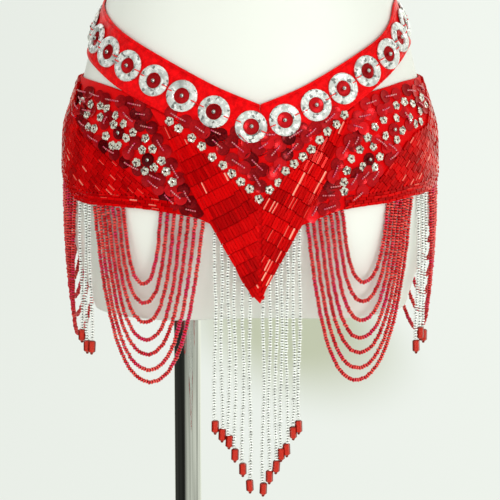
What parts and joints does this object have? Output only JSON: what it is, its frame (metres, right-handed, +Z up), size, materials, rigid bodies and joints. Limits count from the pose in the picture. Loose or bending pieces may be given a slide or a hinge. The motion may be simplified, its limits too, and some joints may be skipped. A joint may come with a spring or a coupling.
{
  "type": "belly dance hip belt on a limbless dress form",
  "caption": "V-fronted beaded hip belt with ring stones, nested bead swags and silver fringe, worn by a smooth hip form on a pole stand.",
  "frame": {"origin": "centre of the stand base's underside, on the floor", "axes": "+Z up along the form's height, -Y is the front of the belt, +X is the viewer's right seen from the front"},
  "size_m": [0.347, 0.3, 0.738],
  "materials": {
    "form_shell": "smooth pale satin shell",
    "chrome": "polished",
    "satin": "red satin",
    "beaded_cloth": "red cloth covered with bugle beads, sequins and flower beads",
    "red_beads": "red lustre seed beads",
    "silver_beads": "silver-lined beads",
    "ring_stones": "faceted, silver backed",
    "hooks": "nickel plated"
  },
  "bodies": {
    "root": {"dress_form": "form_shell", "stand_base": "chrome", "stand_pole": "chrome", "stand_flange": "chrome", "front_v_panel": "beaded_cloth", "centre_fringe": "silver_beads", "waistband_left": "satin", "hip_panel_left": "beaded_cloth", "front_swags_left": "red_beads", "side_fringe_left": "silver_beads", "side_swags_left": "red_beads", "rosette_left_01": "ring_stones", "rosette_left_02": "ring_stones", "rosette_left_03": "ring_stones", "rosette_left_04": "ring_stones", "rosette_left_05": "ring_stones", "rosette_left_06": "ring_stones", "rosette_left_07": "ring_stones", "rosette_left_08": "ring_stones", "rosette_left_09": "ring_stones", "rosette_left_10": "ring_stones", "waistband_right": "satin", "hip_panel_right": "beaded_cloth", "front_swags_right": "red_beads", "side_fringe_right": "silver_beads", "side_swags_right": "red_beads", "rosette_right_01": "ring_stones", "rosette_right_02": "ring_stones", "rosette_right_03": "ring_stones", "rosette_right_04": "ring_stones", "rosette_right_05": "ring_stones", "rosette_right_06": "ring_stones", "rosette_right_07": "ring_stones", "rosette_right_08": "ring_stones", "rosette_right_09": "ring_stones", "rosette_right_10": "ring_stones", "band_hook_1": "hooks", "band_hook_2": "hooks", "panel_hook_1": "hooks", "panel_hook_2": "hooks", "panel_hook_3": "hooks"}
  },
  "joints": []
}
